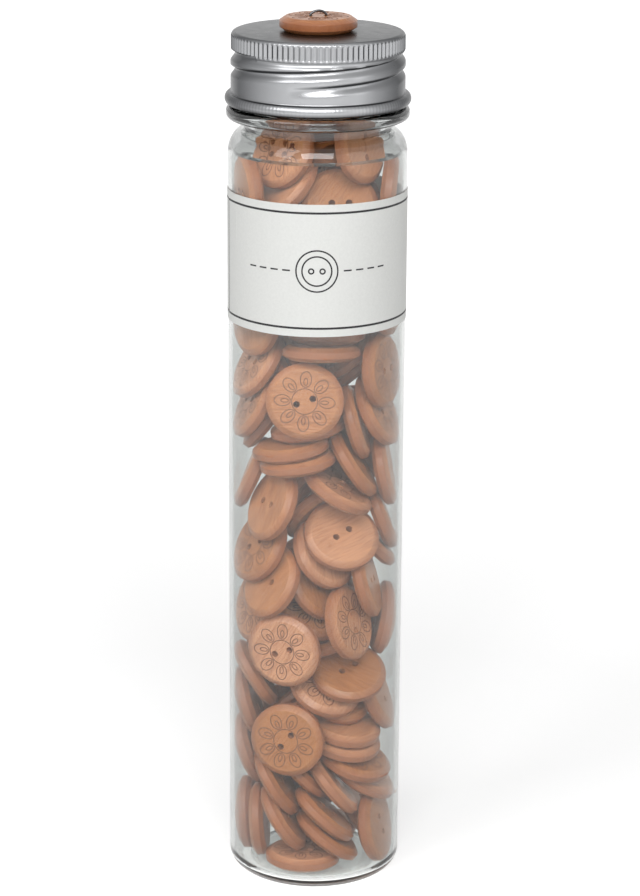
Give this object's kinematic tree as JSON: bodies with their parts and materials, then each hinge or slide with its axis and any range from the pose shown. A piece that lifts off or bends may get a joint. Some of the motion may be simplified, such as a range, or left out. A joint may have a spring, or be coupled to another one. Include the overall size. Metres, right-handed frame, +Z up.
{
  "type": "bottle of buttons",
  "caption": "Clear straight-sided bottle filled with loose round wooden buttons, with a wrap-round paper label and a knurled metal screw cap that carries a button.",
  "frame": {"origin": "on the bottle's axis, in the plane it stands on", "axes": "+Z up along the bottle's axis; the front, where the picture looks from, is towards -Y; +X is to the right seen from the front"},
  "size_m": [0.0434, 0.0434, 0.2121],
  "materials": {
    "clear_plastic": "clear gloss",
    "wood": "satin varnish",
    "metal": "satin",
    "liner": "matt foam",
    "paper": "matt",
    "wire": "bright"
  },
  "bodies": {
    "bottle": {"bottle": "clear_plastic", "label": "paper", "button_01": "wood", "button_02": "wood", "button_03": "wood", "button_04": "wood", "button_05": "wood", "button_06": "wood", "button_07": "wood", "button_08": "wood", "button_09": "wood", "button_10": "wood", "button_11": "wood", "button_12": "wood", "button_13": "wood", "button_14": "wood", "button_15": "wood", "button_16": "wood", "button_17": "wood", "button_18": "wood", "button_19": "wood", "button_20": "wood", "button_21": "wood", "button_22": "wood", "button_23": "wood", "button_24": "wood", "button_25": "wood", "button_26": "wood", "button_27": "wood", "button_28": "wood", "buttons_inner_1": "wood", "buttons_inner_2": "wood", "buttons_inner_3": "wood", "buttons_inner_4": "wood", "buttons_inner_5": "wood", "buttons_inner_6": "wood"},
    "liner": {"cap_liner": "liner"},
    "cap": {"cap": "metal", "cap_button": "wood", "cap_wire": "wire"}
  },
  "joints": [
    {"name": "cap_rise", "type": "slide", "parent": "bottle", "child": "liner", "axis": [0, 0, 1], "range_m": [0, 0.018]},
    {"name": "cap_turn", "type": "hinge", "parent": "liner", "child": "cap", "pos_m": [0, 0, 0.2], "axis": [0, 0, 1], "range_deg": [0, 900]}
  ],
  "couplings": [
    {"joint": "cap_rise", "follows": "cap_turn", "m_per_rad": 0.0011459}
  ]
}
